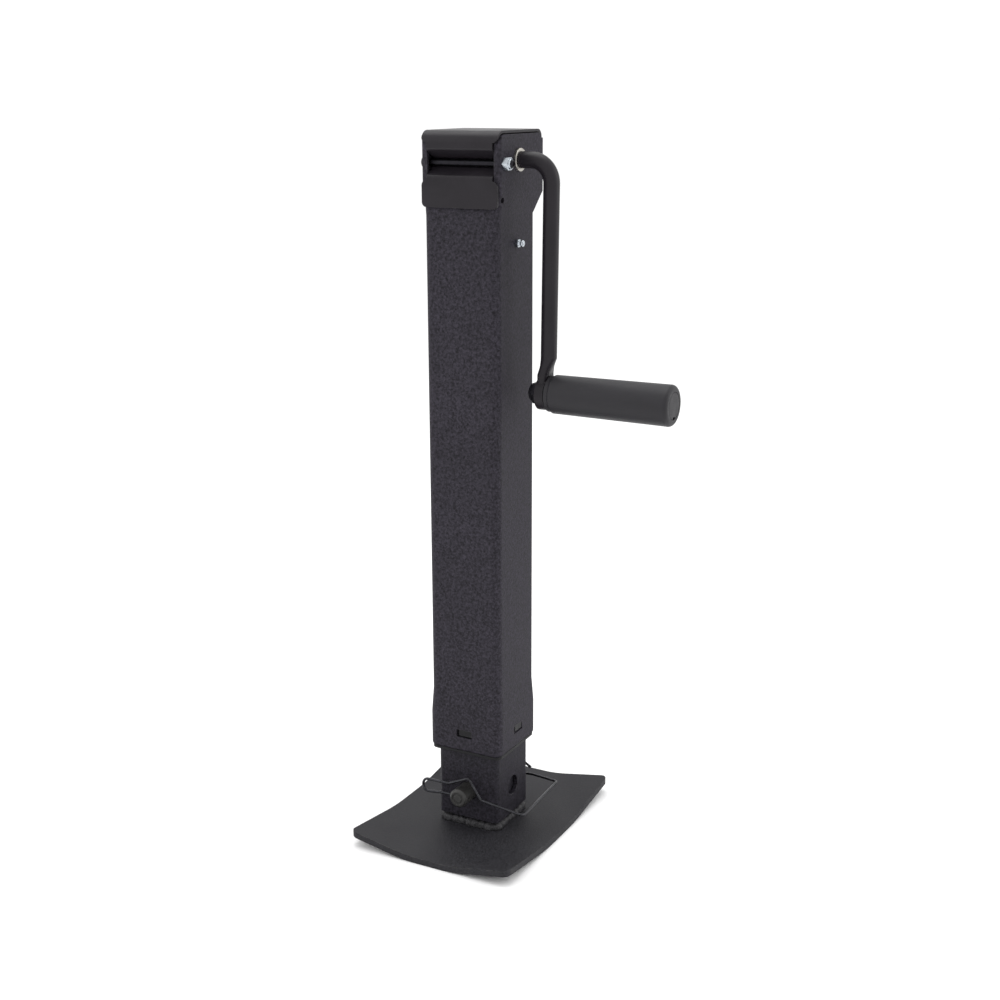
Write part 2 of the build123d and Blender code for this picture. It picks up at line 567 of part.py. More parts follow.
with BuildPart() as bevel_gear:
    with BuildSketch(Plane.XZ):
        with BuildLine():
            Polyline(
                (journal_bore, HUB_BOTTOM),
                (HUB_DIA / 2, HUB_BOTTOM),
                (HUB_DIA / 2, GEAR_BACK),
                (gear_root[0] - 1.0, GEAR_BACK),
                (gear_root[0] * heel, SHAFT_Z + gear_root[1] * heel),
                (gear_root[0] * toe, SHAFT_Z + gear_root[1] * toe),
                (journal_bore, SHAFT_Z + gear_root[1] * toe),
                close=True,
            )
        make_face()
    revolve(axis=Axis.Z)
    # the screw's gear has a space, not a tooth, under the pinion at rest
    for index in range(GEAR_TEETH):
        add(gear_tooth.rotate(Axis.Z, (index + 0.5) * 360 / GEAR_TEETH))
    with BuildSketch(Plane.XZ):
        with Locations((0, GEAR_PIN_Z)):
            Circle(ROLL_PIN_DIA / 2)
    extrude(amount=HUB_DIA, both=True, mode=Mode.SUBTRACT)
save(bevel_gear, "bevel_gear")

PINION_HUB_END, PINION_HUB_DIA = 36.6, 24.0
shaft_bore = ROD / 2 + 0.02
pinion_root = (gear_radius + ROOT_DEPTH * sin(pinion_angle), pinion_radius - ROOT_DEPTH * cos(pinion_angle))

with BuildPart() as bevel_pinion:
    with BuildSketch(Plane.XY.offset(SHAFT_Z)):
        with BuildLine():
            Polyline(
                (pinion_root[0] * toe, shaft_bore),
                (pinion_root[0] * toe, pinion_root[1] * toe),
                (pinion_root[0] * heel, pinion_root[1] * heel),
                (pinion_root[0] + 0.5, PINION_HUB_DIA / 2),
                (PINION_HUB_END, PINION_HUB_DIA / 2),
                (PINION_HUB_END, shaft_bore),
                close=True,
            )
        make_face()
    revolve(axis=Axis(APEX, ALONG))
    for index in range(PINION_TEETH):
        add(pinion_tooth.rotate(Axis(APEX, ALONG), index * 360 / PINION_TEETH))
    with BuildSketch(Plane.XZ):
        with Locations((PIN_HOLE_X, SHAFT_Z)):
            Circle(ROLL_PIN_DIA / 2)
    extrude(amount=PINION_HUB_DIA, both=True, mode=Mode.SUBTRACT)
save(bevel_pinion, "bevel_pinion")

with BuildPart() as pinion_pin:
    with BuildSketch(Plane.XZ):
        with Locations((PIN_HOLE_X, SHAFT_Z)):
            Circle(ROLL_PIN_DIA / 2)
            Circle(ROLL_PIN_DIA / 2 - 1, mode=Mode.SUBTRACT)
    extrude(amount=PINION_HUB_DIA / 2 - 0.5, both=True)
save(pinion_pin, "pinion_pin")

with BuildPart() as gear_pin:
    with BuildSketch(Plane.XZ):
        with Locations((0, GEAR_PIN_Z)):
            Circle(ROLL_PIN_DIA / 2)
            Circle(ROLL_PIN_DIA / 2 - 1, mode=Mode.SUBTRACT)
    extrude(amount=HUB_DIA / 2 - 0.5, both=True)
save(gear_pin, "gear_pin")

# ---------------------------------------------------------------- thrust bearing and plate

plate_top = PLATE_BOTTOM + PLATE_THICK

with BuildPart() as bearing_plate:
    with BuildSketch(Plane.XY.offset(PLATE_BOTTOM)):
        RectangleRounded(2 * tube_inner, 2 * tube_inner, TUBE_CORNER - TUBE_WALL)
        Circle(JOURNAL_DIA / 2 + 0.5, mode=Mode.SUBTRACT)
    extrude(amount=PLATE_THICK)
save(bearing_plate, "bearing_plate")

with BuildPart() as gear_washer:
    extrude(round_ring(JOURNAL_DIA + 1, 34.0, plate_top), amount=HUB_BOTTOM - plate_top - RUNNING)
save(gear_washer, "gear_washer")

ball_gap = 0.05
race_groove = 1.2
upper_race_z = PLATE_BOTTOM - RACE_THICK
ball_z = upper_race_z - BALL_DIA / 2 + race_groove - ball_gap
lower_race_top = ball_z - BALL_DIA / 2 + race_groove - ball_gap
lower_race_z = lower_race_top - RACE_THICK

with BuildPart() as upper_race:
    extrude(round_ring(JOURNAL_DIA + 1, RACE_DIA, upper_race_z), amount=RACE_THICK)
    with BuildSketch(Plane.XZ):
        with Locations((BALL_CIRCLE / 2, ball_z)):
            Circle(BALL_DIA / 2 + ball_gap)
    revolve(axis=Axis.Z, mode=Mode.SUBTRACT)
save(upper_race, "upper_race")

with BuildPart() as lower_race:
    extrude(round_ring(JOURNAL_DIA + 0.04, RACE_DIA, lower_race_z), amount=RACE_THICK)
    with BuildSketch(Plane.XZ):
        with Locations((BALL_CIRCLE / 2, ball_z)):
            Circle(BALL_DIA / 2 + ball_gap)
    revolve(axis=Axis.Z, mode=Mode.SUBTRACT)
save(lower_race, "lower_race")

with BuildPart() as bearing_balls:
    with Locations((0, 0, ball_z)):
        with PolarLocations(BALL_CIRCLE / 2, BALLS):
            Sphere(BALL_DIA / 2)
save(bearing_balls, "bearing_balls")

CAGE_THICK, CAGE_INNER, CAGE_OUTER = 1.6, 22.5, 38.0

with BuildPart() as ball_cage:
    extrude(round_ring(CAGE_INNER, CAGE_OUTER, ball_z - CAGE_THICK / 2), amount=CAGE_THICK)
    with Locations((0, 0, ball_z)):
        with PolarLocations(BALL_CIRCLE / 2, BALLS):
            Sphere(BALL_DIA / 2 + 0.1, mode=Mode.SUBTRACT)
save(ball_cage, "ball_cage")

# ---------------------------------------------------------------- lift screw

collar_bottom = lower_race_z - SCREW_COLLAR
thread_top = collar_bottom - 6.0
screw_radius = SCREW_DIA / 2
thread_root = screw_radius - THREAD_DEPTH
JOURNAL_TOP = 646.5
STOP_SCREW_DIA, STOP_SCREW_DEPTH = 10.0, 22.0

# one thread groove for each lead: flat root, sloped flanks, flat crest
profile = [(0, SCREW_BOTTOM), (thread_root, SCREW_BOTTOM), (thread_root, THREAD_BOTTOM)]
grooves = int((thread_top - THREAD_BOTTOM) / SCREW_LEAD)
for index in range(grooves):
    z = THREAD_BOTTOM + index * SCREW_LEAD
    profile += [
        (screw_radius, z + 0.7),
        (screw_radius, z + 0.7 + 0.37 * SCREW_LEAD),
        (thread_root, z + 1.4 + 0.37 * SCREW_LEAD),
        (thread_root, z + SCREW_LEAD),
    ]
profile += [
    (thread_root, thread_top),
    (screw_radius, thread_top),
    (screw_radius, collar_bottom),
    (SCREW_COLLAR_DIA / 2, collar_bottom),
    (SCREW_COLLAR_DIA / 2, lower_race_z),
    (JOURNAL_DIA / 2, lower_race_z),
    (JOURNAL_DIA / 2, JOURNAL_TOP - 1),
    (JOURNAL_DIA / 2 - 1, JOURNAL_TOP),
    (0, JOURNAL_TOP),
]

with BuildPart() as lift_screw:
    with BuildSketch(Plane.XZ):
        with BuildLine():
            Polyline(*profile, close=True)
        make_face()
    revolve(axis=Axis.Z)
    with BuildSketch(Plane.XZ):
        with Locations((0, GEAR_PIN_Z)):
            Circle(ROLL_PIN_DIA / 2)
    extrude(amount=JOURNAL_DIA, both=True, mode=Mode.SUBTRACT)
    with BuildSketch(Plane.XY.offset(SCREW_BOTTOM)):
        Circle(STOP_SCREW_DIA / 2)
    extrude(amount=STOP_SCREW_DEPTH, mode=Mode.SUBTRACT)
save(lift_screw, "lift_screw")

STOP_DIA, STOP_THICK = 44.0, 4.0
STOP_HEX, STOP_HEAD = 16.0, 6.4

with BuildPart() as screw_stop:
    extrude(round_ring(STOP_SCREW_DIA, STOP_DIA, SCREW_BOTTOM - STOP_THICK), amount=STOP_THICK)
save(screw_stop, "screw_stop")

with BuildPart() as stop_screw:
    with BuildSketch(Plane.XY.offset(SCREW_BOTTOM - STOP_THICK)):
        Circle(STOP_SCREW_DIA / 2)
    extrude(amount=STOP_THICK + STOP_SCREW_DEPTH - 1)
    with BuildSketch(Plane.XY.offset(SCREW_BOTTOM - STOP_THICK)):
        RegularPolygon(STOP_HEX / 2, 6, major_radius=False)
    extrude(amount=-STOP_HEAD)
save(stop_screw, "stop_screw")

# ---------------------------------------------------------------- ram

ram_top = NUT_BOTTOM + NUT_HEIGHT
ram_half = RAM / 2
ram_inner = RAM - 2 * RAM_WALL

with BuildPart() as ram_tube:
    extrude(square_ring(RAM, RAM_WALL, RAM_CORNER, RAM_BOTTOM), amount=ram_top - RAM_BOTTOM)
    for side in (Plane.XZ, Plane.YZ):
        with BuildSketch(side):
            with Locations((0, PIN_Z)):
                Circle(PIN_HOLE / 2)
        extrude(amount=RAM, both=True, mode=Mode.SUBTRACT)
save(ram_tube, "ram_tube")

with BuildPart() as lift_nut:
    with BuildSketch(Plane.XY.offset(NUT_BOTTOM)):
        RectangleRounded(ram_inner, ram_inner, RAM_CORNER - RAM_WALL)
        Circle(screw_radius + SLIDING, mode=Mode.SUBTRACT)
    extrude(amount=NUT_HEIGHT)
save(lift_nut, "lift_nut")

GUIDE_HALF, GUIDE_HEIGHT = 34.75, 55.0

with BuildPart() as ram_guide:
    with BuildSketch(Plane.XY.offset(ram_top - GUIDE_HEIGHT)):
        RectangleRounded(2 * GUIDE_HALF, 2 * GUIDE_HALF, TUBE_CORNER - TUBE_WALL)
        RectangleRounded(RAM, RAM, RAM_CORNER, mode=Mode.SUBTRACT)
    extrude(amount=GUIDE_HEIGHT)
save(ram_guide, "ram_guide")

# ---------------------------------------------------------------- guide bush

BUSH_TOP, BUSH_LIP_BOTTOM, BUSH_LIP_HALF = 122.0, 86.3, 38.3
bush_outer = COLLAR_HALF - TUBE_WALL - 0.05
LUG_WIDTH, LUG_HEIGHT, LUG_SHIFT, LUG_RISE = 14.0, 6.2, 1.3, 0.7

with BuildPart() as guide_bush:
    with BuildSketch(Plane.XY.offset(TUBE_BOTTOM)):
        RectangleRounded(2 * bush_outer, 2 * bush_outer, TUBE_CORNER - TUBE_WALL)
    extrude(amount=BUSH_TOP - TUBE_BOTTOM)
    with BuildSketch(Plane.XY.offset(BUSH_LIP_BOTTOM)):
        RectangleRounded(2 * BUSH_LIP_HALF, 2 * BUSH_LIP_HALF, TUBE_CORNER - 1.5)
    extrude(amount=TUBE_BOTTOM - BUSH_LIP_BOTTOM)
    # four snap lugs, one in each window
    for quarter in range(4):
        side = Plane.XZ.rotated((0, 0, 90 * quarter))
        with BuildSketch(side):
            with Locations((LUG_SHIFT, WINDOW_Z + LUG_RISE)):
                Rectangle(LUG_WIDTH, LUG_HEIGHT)
        extrude(amount=COLLAR_HALF - 0.5)
    with BuildSketch(Plane.XY.offset(BUSH_LIP_BOTTOM)):
        RectangleRounded(RAM + 2 * SLIDING, RAM + 2 * SLIDING, RAM_CORNER + SLIDING)
    extrude(amount=BUSH_TOP, mode=Mode.SUBTRACT)
save(guide_bush, "guide_bush")

# ---------------------------------------------------------------- drop leg and foot

leg_half = LEG / 2

with BuildPart() as drop_leg:
    extrude(square_ring(LEG, LEG_WALL, LEG_CORNER, FOOT_THICK), amount=LEG_TOP - FOOT_THICK)
    # adjustment holes for the lock pin
    for index in range(LEG_HOLES):
        with BuildSketch(Plane.XZ):
            with Locations((0, PIN_Z + index * HOLE_PITCH)):
                Circle(PIN_HOLE / 2)
        extrude(amount=LEG, both=True, mode=Mode.SUBTRACT)
save(drop_leg, "drop_leg")

half_x, half_y = FOOT_X / 2, FOOT_Y / 2
# the fold line crosses the plate's edges at (FOLD_X, half_y) and (half_x, FOLD_Y)
fold_along = Vector(half_x - FOLD_X, FOLD_Y - half_y, 0).normalized()
fold_normal = Vector(-fold_along.Y, fold_along.X, 0)
fold_reach = Vector(half_x, FOLD_Y, 0).dot(fold_normal)
turn = radians(FOLD_RISE)

with BuildPart() as foot_plate:
    with BuildSketch():
        RectangleRounded(FOOT_X, FOOT_Y, FOOT_CORNER)
    extrude(amount=FOOT_THICK)
    # cut the four corners off along their fold lines
    for mirror_x in (-1, 1):
        for mirror_y in (-1, 1):
            with BuildSketch():
                with BuildLine():
                    Polyline(
                        (mirror_x * FOLD_X, mirror_y * half_y),
                        (mirror_x * half_x, mirror_y * FOLD_Y),
                        (mirror_x * (half_x + 40), mirror_y * FOLD_Y),
                        (mirror_x * (half_x + 40), mirror_y * (half_y + 40)),
                        (mirror_x * FOLD_X, mirror_y * (half_y + 40)),
                        close=True,
                    )
                make_face()
            extrude(amount=FOOT_THICK, mode=Mode.SUBTRACT)

# a strip with the fold's section, long enough for the whole corner
with BuildPart() as fold_strip:
    with BuildSketch(Plane(fold_normal * fold_reach, x_dir=fold_normal, z_dir=fold_along)):
        with BuildLine():
            end = (FOLD_RADIUS * sin(turn), FOLD_RADIUS * (1 - cos(turn)))
            arm = 60.0
            Line((0, FOOT_THICK), (0, 0))
            ThreePointArc((0, 0), (FOLD_RADIUS * sin(turn / 2), FOLD_RADIUS * (1 - cos(turn / 2))), end)
            tip = (end[0] + arm * cos(turn), end[1] + arm * sin(turn))
            Polyline(end, tip, (tip[0] - FOOT_THICK * sin(turn), tip[1] + FOOT_THICK * cos(turn)))
            upper = FOLD_RADIUS - FOOT_THICK
            upper_end = (upper * sin(turn), FOLD_RADIUS - upper * cos(turn))
            Line((tip[0] - FOOT_THICK * sin(turn), tip[1] + FOOT_THICK * cos(turn)), upper_end)
            ThreePointArc(
                upper_end,
                (upper * sin(turn / 2), FOLD_RADIUS - upper * cos(turn / 2)),
                (0, FOOT_THICK),
            )
        make_face()
    extrude(amount=half_y, both=True)
    with BuildSketch():
        RectangleRounded(FOOT_X, FOOT_Y, FOOT_CORNER)
    extrude(amount=60, mode=Mode.INTERSECT)

with foot_plate:
    add(fold_strip.part)
    add(fold_strip.part.mirror(Plane.YZ))
    add(fold_strip.part.mirror(Plane.XZ))
    add(fold_strip.part.mirror(Plane.YZ).mirror(Plane.XZ))
save(foot_plate, "foot_plate")

WELD_FOOT_HALF, WELD_TOP_HALF = 35.6, 29.6

with BuildPart() as foot_weld:
    with BuildSketch(Plane.XY.offset(FOOT_THICK)):
        RectangleRounded(2 * WELD_FOOT_HALF, 2 * WELD_FOOT_HALF, 9)
    with BuildSketch(Plane.XY.offset(WELD_TOP)):
        RectangleRounded(2 * WELD_TOP_HALF, 2 * WELD_TOP_HALF, 6)
    loft(ruled=True)
    with BuildSketch(Plane.XY.offset(FOOT_THICK)):
        RectangleRounded(LEG, LEG, LEG_CORNER)
    extrude(amount=WELD_TOP, mode=Mode.SUBTRACT)
save(foot_weld, "foot_weld")

# ---------------------------------------------------------------- lock pin and wire clip

with BuildPart() as lock_pin:
    with BuildSketch(Plane.XZ.offset(-PIN_BACK)):
        with Locations((0, PIN_Z)):
            Circle(PIN_DIA / 2)
    extrude(amount=PIN_BACK - PIN_FRONT)
    chamfer(lock_pin.faces().sort_by(Axis.Y)[0].edges(), PIN_FRONT_EDGE)
    chamfer(lock_pin.faces().sort_by(Axis.Y)[-1].edges(), PIN_BACK_EDGE)
    # turned ring in the front face
    with BuildSketch(Plane.XZ.offset(-PIN_FRONT)):
        with Locations((0, PIN_Z)):
            Circle(PIN_RING_OUTER / 2)
            Circle(PIN_RING_INNER / 2, mode=Mode.SUBTRACT)
    extrude(amount=-PIN_RING_DEPTH, mode=Mode.SUBTRACT)
    # cross hole for the clip's free end, and upright hole that the clip hangs in
    with BuildSketch(Plane.YZ):
        with Locations((CLIP_FRONT_Y, PIN_Z)):
            Circle(WIRE_HOLE / 2)
    extrude(amount=PIN_DIA, both=True, mode=Mode.SUBTRACT)
    with BuildSketch(Plane.XY.offset(PIN_Z)):
        with Locations((0, CLIP_BACK_Y)):
            Circle(WIRE_HOLE / 2)
    extrude(amount=PIN_DIA, both=True, mode=Mode.SUBTRACT)
save(lock_pin, "lock_pin")

# centre line of the clip, from its bent-over tail to its free end in the cross hole
clip_route = [
    (28.5, CLIP_BACK_Y, 40.6),
    (0, CLIP_BACK_Y, 58.4),
    (0, CLIP_BACK_Y, 30.4),
    (30, CLIP_BACK_Y, 33.4),
    (58.8, CLIP_BACK_Y, 31.5),
    (69.5, CLIP_FRONT_Y, 39.4),
    (22.5, CLIP_FRONT_Y, 45.0),
    (8.8, CLIP_FRONT_Y, 65.4),
    (-13.5, CLIP_FRONT_Y, 55.0),
    (-42.6, CLIP_FRONT_Y, 54.6),
    (-44.2, CLIP_FRONT_Y, 40.6),
    (-19.5, CLIP_FRONT_Y, 43.6),
    (-3.0, CLIP_FRONT_Y, 44.0),
]
clip_radii = [3.0, 3.5, 20.0, 5.0, 5.0, 3.0, 3.0, 5.0, 6.0, 6.0, 20.0]

with BuildPart() as wire_clip:
    with BuildLine() as route:
        FilletPolyline(*clip_route, radius=clip_radii)
    with BuildSketch(Plane(route.line @ 0, z_dir=route.line % 0)):
        Circle(WIRE_DIA / 2)
    sweep()
save(wire_clip, "wire_clip")
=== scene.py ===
import json
import math

import bmesh
import bpy
from mathutils import Matrix, Vector, noise


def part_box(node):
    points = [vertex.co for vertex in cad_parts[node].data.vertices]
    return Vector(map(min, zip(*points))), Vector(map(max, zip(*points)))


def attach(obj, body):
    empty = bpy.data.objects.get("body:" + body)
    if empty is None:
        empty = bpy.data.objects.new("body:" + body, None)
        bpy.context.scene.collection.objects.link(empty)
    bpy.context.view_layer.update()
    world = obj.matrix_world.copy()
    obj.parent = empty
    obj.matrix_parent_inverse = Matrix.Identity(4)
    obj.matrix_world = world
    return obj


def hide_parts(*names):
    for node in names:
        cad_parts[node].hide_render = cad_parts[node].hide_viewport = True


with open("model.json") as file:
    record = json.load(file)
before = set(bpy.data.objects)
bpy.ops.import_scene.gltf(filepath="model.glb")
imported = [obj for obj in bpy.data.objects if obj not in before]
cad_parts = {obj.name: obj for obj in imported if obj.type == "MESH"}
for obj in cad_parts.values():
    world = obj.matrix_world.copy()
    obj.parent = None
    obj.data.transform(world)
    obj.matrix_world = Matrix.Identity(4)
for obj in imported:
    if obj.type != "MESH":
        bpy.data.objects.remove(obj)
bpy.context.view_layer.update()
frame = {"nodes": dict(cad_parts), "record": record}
nodes = frame["nodes"]
scene = bpy.context.scene

# ---------------------------------------------------------------- material graphs

BEVEL_SAMPLES = 6
DIELECTRIC, METAL = 0.0, 1.0


class Graph:
    """One procedural material. Textures use the object's own coordinates, in metres."""

    def __init__(self, name):
        self.material = bpy.data.materials.new(name)
        self.material.use_nodes = True
        self.tree = self.material.node_tree
        self.shader = self.tree.nodes["Principled BSDF"]
        self.place = self.add("ShaderNodeTexCoord").outputs["Object"]

    def add(self, kind, settings=None, **inputs):
        """A node with its settings and inputs; an input is a constant or another node's output."""
        node = self.tree.nodes.new(kind)
        for key, value in (settings or {}).items():
            setattr(node, key, value)
        for key, value in inputs.items():
            self.feed(node.inputs[key.replace("_", " ")], value)
        return node

    def feed(self, socket, value):
        """Links another node's output to the socket, or sets the socket to a constant."""
        if isinstance(value, bpy.types.NodeSocket):
            self.tree.links.new(value, socket)
        else:
            socket.default_value = value

    def math(self, operation, a, b):
        node = self.add("ShaderNodeMath", {"operation": operation})
        self.feed(node.inputs[0], a)
        self.feed(node.inputs[1], b)
        return node.outputs[0]

    def stretched(self, x, y, z):
        """The object's coordinates, scaled along each axis."""
        return self.add("ShaderNodeMapping", Vector=self.place, Scale=(x, y, z)).outputs[0]

    def noise(self, scale, detail=2.0, rough=0.5, distortion=0.0, vector=None):
        """Noise from 0 to 1 around 0.5."""
        node = self.add(
            "ShaderNodeTexNoise",
            Vector=vector or self.place,
            Scale=scale,
            Detail=detail,
            Roughness=rough,
            Distortion=distortion,
        )
        return node.outputs["Fac"]

    def cells(self, scale):
        """Distance from the nearest of many scattered points."""
        node = self.add("ShaderNodeTexVoronoi", {"feature": "F1"}, Vector=self.place, Scale=scale)
        return node.outputs["Distance"]

    def span(self, value, low, high, to_low, to_high):
        """value from low..high to to_low..to_high, held at both ends."""
        node = self.add("ShaderNodeMapRange", {"clamp": True}, Value=value)
        for key, number in (("From Min", low), ("From Max", high), ("To Min", to_low), ("To Max", to_high)):
            node.inputs[key].default_value = number
        return node.outputs[0]

    def blend(self, factor, first, second):
        """From colour first to colour second as factor goes from 0 to 1."""
        node = self.add("ShaderNodeMix", {"data_type": "RGBA"})
        self.feed(node.inputs["Factor"], factor)
        self.feed(node.inputs["A"], first)
        self.feed(node.inputs["B"], second)
        return node.outputs["Result"]

    def tint(self, colour, factor):
        """A red, green and blue colour times a number."""
        node = self.add("ShaderNodeVectorMath", {"operation": "SCALE"})
        self.feed(node.inputs[0], colour)
        self.feed(node.inputs["Scale"], factor)
        return node.outputs[0]

    def rounded(self, radius):
        """The surface's normal with its sharp edges rounded off."""
        return self.add("ShaderNodeBevel", {"samples": BEVEL_SAMPLES}, Radius=radius).outputs[0]

    def edges(self, radius, low=0.02, high=0.25):
        """1 along sharp edges, 0 on flat places."""
        true_normal = self.add("ShaderNodeNewGeometry").outputs["Normal"]
        dot = self.add("ShaderNodeVectorMath", {"operation": "DOT_PRODUCT"})
        self.feed(dot.inputs[0], self.rounded(radius))
        self.feed(dot.inputs[1], true_normal)
        return self.span(self.math("SUBTRACT", 1.0, dot.outputs["Value"]), low, high, 0.0, 1.0)

    def bump(self, height, distance, strength=1.0, normal=None):
        """The normal, roughened by a height that stands for distance metres."""
        node = self.add("ShaderNodeBump", Height=height, Distance=distance, Strength=strength)
        if normal is not None:
            self.feed(node.inputs["Normal"], normal)
        return node.outputs[0]

    def done(self, colour, roughness, normal, metallic, specular):
        """Feeds the shader and gives the finished material."""
        inputs = self.shader.inputs
        self.feed(inputs["Base Color"], colour)
        self.feed(inputs["Roughness"], roughness)
        self.feed(inputs["Normal"], normal)
        inputs["Metallic"].default_value = metallic
        inputs["Specular IOR Level"].default_value = specular
        return self.material


def rgb(red, green, blue):
    """An opaque colour, as a colour socket takes it."""
    return (red, green, blue, 1.0)


# the colours of worn places, and how far the shading rounds off sharp edges, in metres
WORN_EDGE = rgb(0.16, 0.155, 0.15)
RUBBED_COAT = rgb(0.075, 0.073, 0.075)
SCUFFED_COAT = rgb(0.10, 0.10, 0.10)
RUBBED_PLASTIC = rgb(0.11, 0.11, 0.108)
COAT_ROUNDING, METAL_ROUNDING, PLASTIC_ROUNDING = 0.0009, 0.0004, 0.0007


# ---------------------------------------------------------------- coatings


def wrinkle_coat(name, colour, grain, depth, specular, rub=0.0):
    """Powder coat with a fine wrinkled grain; rub adds faint bright wear lines along the tube."""
    g = Graph(name)
    coarse = g.noise(grain, 3.0, 0.6, 0.4)
    fine = g.noise(grain * 3.1, 2.0, 0.5)
    pits = g.cells(grain * 1.6)
    patches = g.noise(11.0, 3.0, 0.55)
    height = g.math("ADD", g.math("MULTIPLY", coarse, 0.7), g.math("MULTIPLY", fine, 0.25))
    height = g.math("ADD", height, g.math("MULTIPLY", pits, 0.3))
    shade = g.math("MULTIPLY", g.span(coarse, 0.32, 0.68, 0.42, 1.72), g.span(fine, 0.3, 0.7, 0.72, 1.32))
    shade = g.math("MULTIPLY", shade, g.span(patches, 0.3, 0.7, 0.90, 1.12))
    body = g.tint(colour, shade)
    worn = g.math("MULTIPLY", g.edges(0.0016), g.span(g.noise(160.0, 3.0), 0.42, 0.66, 0.0, 1.0))
    body = g.blend(g.math("MULTIPLY", worn, 0.30), body, WORN_EDGE)
    rough = g.math("ADD", g.span(coarse, 0.3, 0.7, 0.48, 0.70), g.span(patches, 0.3, 0.7, -0.05, 0.05))
    if rub:
        streak = g.noise(1.0, 3.0, 0.6, vector=g.stretched(260.0, 260.0, 7.0))
        streak = g.span(streak, 0.56, 0.72, 0.0, rub)
        body = g.blend(streak, body, RUBBED_COAT)
        rough = g.math("SUBTRACT", rough, g.math("MULTIPLY", streak, 0.5))
    normal = g.bump(height, depth, 0.75, g.rounded(COAT_ROUNDING))
    return g.done(body, rough, normal, DIELECTRIC, specular)


PEEL_DEPTH = 0.00012


def satin_coat(name, colour, rough_low, rough_high, peel, specular):
    """Smooth sprayed coat with a slight orange peel and a few fine scuffs."""
    g = Graph(name)
    wave = g.noise(peel, 2.0, 0.45)
    speck = g.cells(1500.0)
    smear = g.noise(26.0, 4.0, 0.6, 0.8)
    scuff = g.noise(1.0, 2.0, 0.7, vector=g.stretched(900.0, 60.0, 900.0))
    scuff = g.span(scuff, 0.66, 0.76, 0.0, 1.0)
    scuff = g.math("MULTIPLY", scuff, g.span(g.noise(40.0), 0.5, 0.7, 0.0, 1.0))
    shade = g.math("MULTIPLY", g.span(smear, 0.3, 0.7, 0.86, 1.16), g.span(speck, 0.0, 0.5, 1.10, 0.95))
    body = g.tint(colour, shade)
    body = g.blend(g.math("MULTIPLY", scuff, 0.22), body, SCUFFED_COAT)
    worn = g.math("MULTIPLY", g.edges(0.0012), g.span(g.noise(210.0, 3.0), 0.45, 0.7, 0.0, 1.0))
    body = g.blend(g.math("MULTIPLY", worn, 0.25), body, WORN_EDGE)
    rough = g.math("ADD", g.span(smear, 0.3, 0.7, rough_low, rough_high), g.math("MULTIPLY", scuff, 0.12))
    height = g.math("ADD", wave, g.math("MULTIPLY", speck, 0.12))
    normal = g.bump(height, PEEL_DEPTH, 0.6, g.rounded(COAT_ROUNDING))
    return g.done(body, rough, normal, DIELECTRIC, specular)


# ---------------------------------------------------------------- metals and plastics


def turned_metal(name, colour, rough, lines=0.0, stain=0.15, depth=0.00002):
    """Bare or plated metal: mottled plating, fine scratches and, if lines is set, tool marks across X."""
    g = Graph(name)
    mottle = g.noise(340.0, 4.0, 0.6, 0.6)
    cloud = g.noise(70.0, 3.0, 0.5)
    scratch = g.noise(1.0, 3.0, 0.7, vector=g.stretched(240.0, 2600.0, 2600.0))
    body = g.tint(colour, g.span(mottle, 0.3, 0.7, 1.0 - stain, 1.0 + stain * 0.6))
    tarnished = rgb(colour[0] * 0.82, colour[1] * 0.84, colour[2] * 0.95)
    body = g.blend(g.span(cloud, 0.5, 0.75, 0.0, 0.28), body, tarnished)
    plating = g.span(mottle, 0.3, 0.7, rough * 0.72, rough * 1.35)
    level = g.math("ADD", plating, g.span(scratch, 0.5, 0.8, 0.0, 0.08))
    height = g.math("ADD", g.math("MULTIPLY", mottle, 0.5), g.math("MULTIPLY", scratch, 0.6))
    normal = g.bump(height, depth, 0.8, g.rounded(METAL_ROUNDING))
    if lines:
        band = g.add(
            "ShaderNodeTexWave",
            {"wave_type": "BANDS", "bands_direction": "X"},
            Vector=g.place,
            Scale=lines,
            Distortion=0.6,
            Detail=1.0,
        )
        normal = g.bump(band.outputs["Fac"], depth * 2.0, 0.7, normal)
    return g.done(body, level, normal, METAL, 0.5)


def pressed_plastic(name, colour, rough, grain, depth, specular):
    """Moulded plastic: spark-eroded grain, flow clouding and lighter rubbed edges."""
    g = Graph(name)
    sand = g.noise(grain, 3.0, 0.65)
    pits = g.cells(grain * 0.8)
    flow = g.noise(1.0, 3.0, 0.5, 1.2, vector=g.stretched(18.0, 60.0, 60.0))
    shade = g.math("MULTIPLY", g.span(sand, 0.3, 0.7, 0.86, 1.16), g.span(flow, 0.3, 0.7, 0.90, 1.12))
    body = g.tint(colour, shade)
    worn = g.math("MULTIPLY", g.edges(0.0022, 0.01, 0.22), g.span(g.noise(120.0, 3.0), 0.4, 0.7, 0.2, 1.0))
    body = g.blend(g.math("MULTIPLY", worn, 0.22), body, RUBBED_PLASTIC)
    level = g.span(sand, 0.3, 0.7, rough - 0.06, rough + 0.08)
    level = g.math("ADD", level, g.span(flow, 0.3, 0.7, -0.04, 0.05))
    height = g.math("ADD", sand, g.math("MULTIPLY", pits, 0.5))
    normal = g.bump(height, depth, 0.7, g.rounded(PLASTIC_ROUNDING))
    return g.done(body, level, normal, DIELECTRIC, specular)


# ---------------------------------------------------------------- one finish for each material slot

